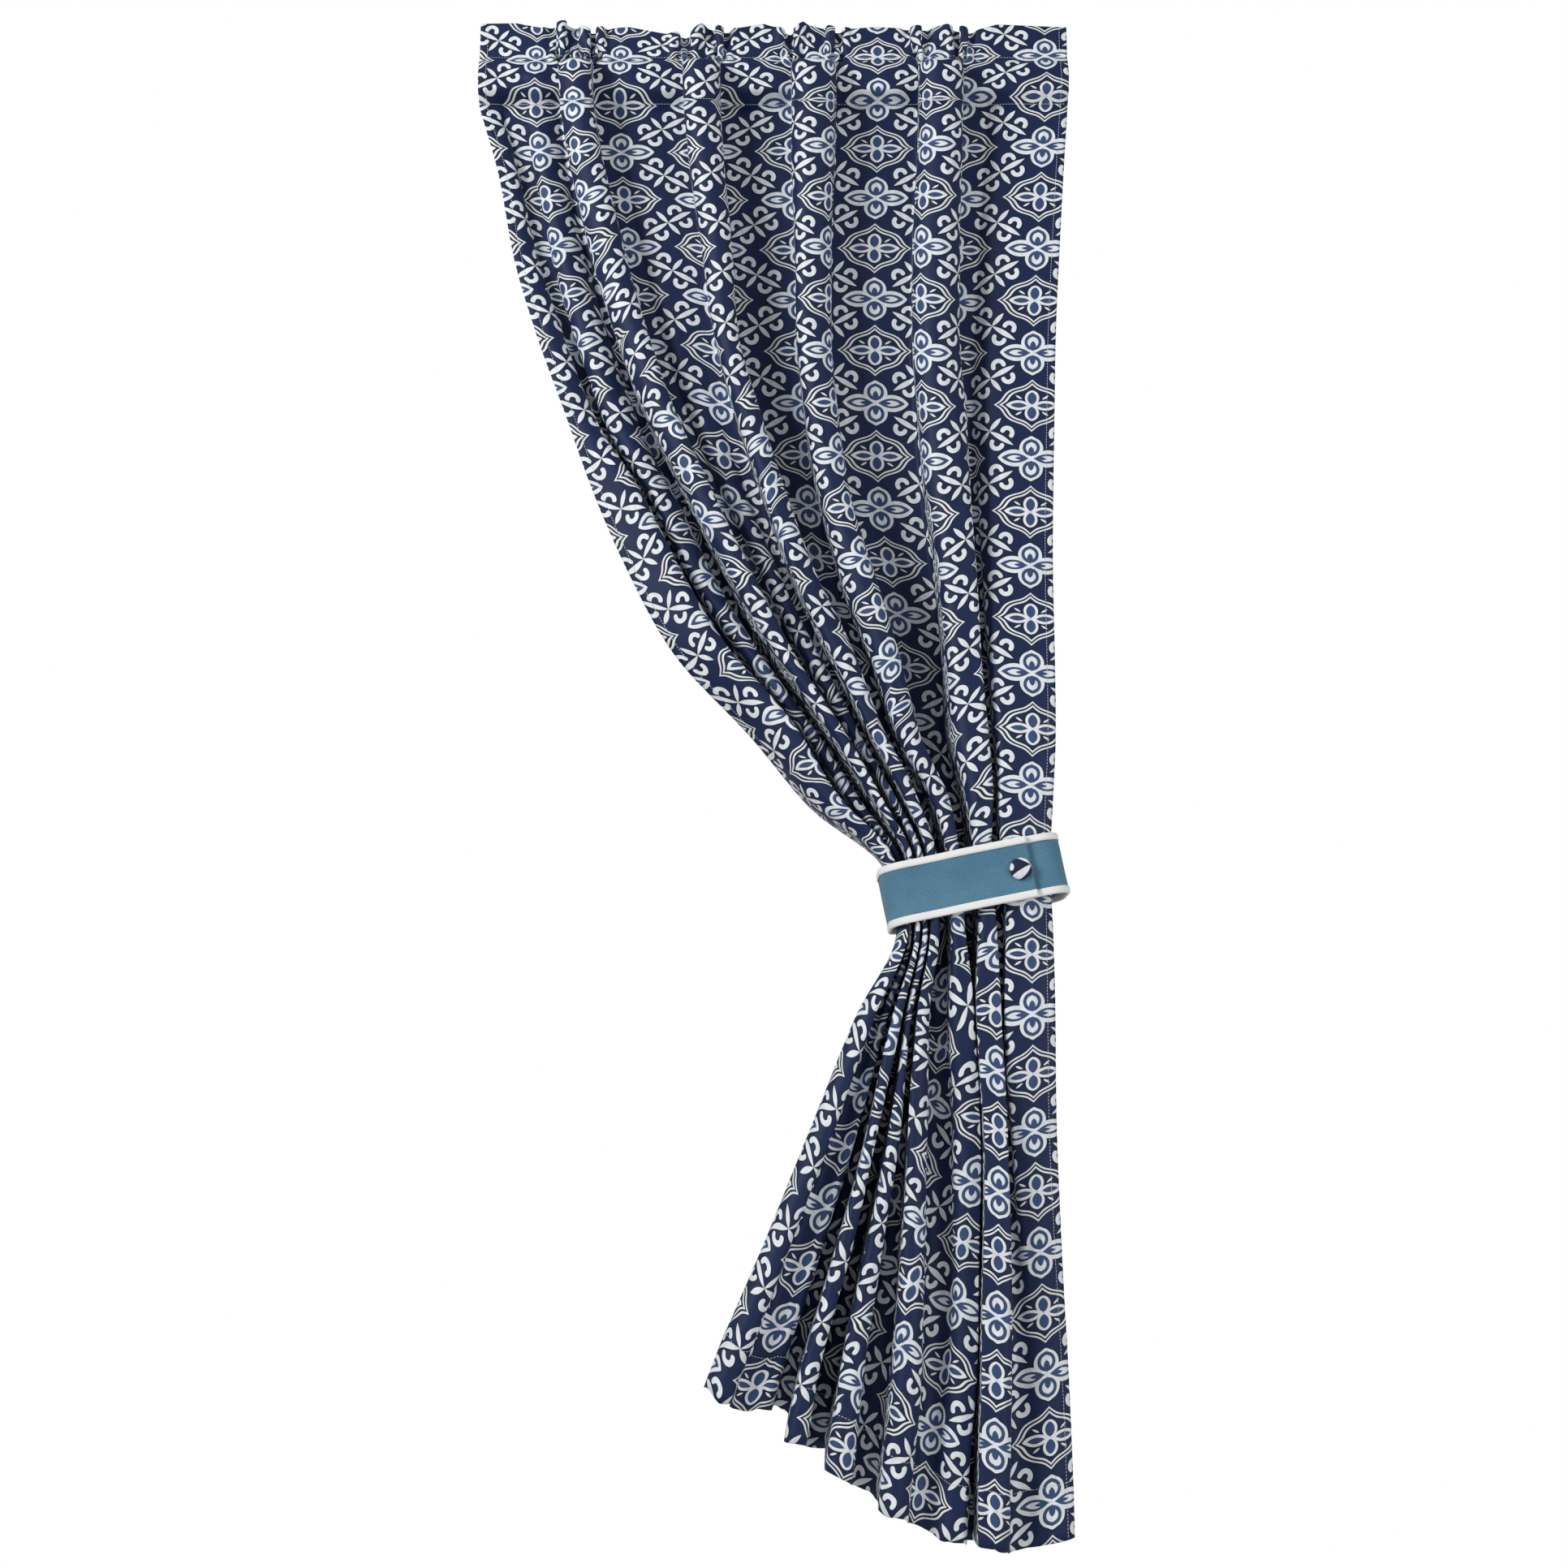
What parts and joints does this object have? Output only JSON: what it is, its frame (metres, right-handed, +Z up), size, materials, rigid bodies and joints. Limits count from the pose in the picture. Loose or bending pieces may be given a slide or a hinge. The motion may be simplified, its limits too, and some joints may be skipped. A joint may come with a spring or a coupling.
{
  "type": "printed curtain",
  "caption": "Printed cotton curtain panel gathered on a rod pocket below a header ruffle, drawn to one side and held by a bound cloth tie band with a covered button.",
  "frame": {"origin": "middle of the rod pocket's centre line, where the rod's axis runs", "axes": "+X along the rod, to the right of someone who looks at the front; +Y away from them, to the window; +Z up"},
  "size_m": [0.8642, 0.1596, 2.1504],
  "materials": {
    "print_cotton": "cotton sateen, navy ground printed with an off-white and mid-blue ogee repeat, soft sheen",
    "band_cotton": "plain-weave cotton in steel blue, matte",
    "binding_tape": "off-white cotton bias tape, matte"
  },
  "bodies": {
    "root": {"panel": "print_cotton", "heading": "print_cotton", "tie_band": "band_cotton", "binding_top": "binding_tape", "binding_bottom": "binding_tape", "button": "print_cotton"}
  },
  "joints": []
}
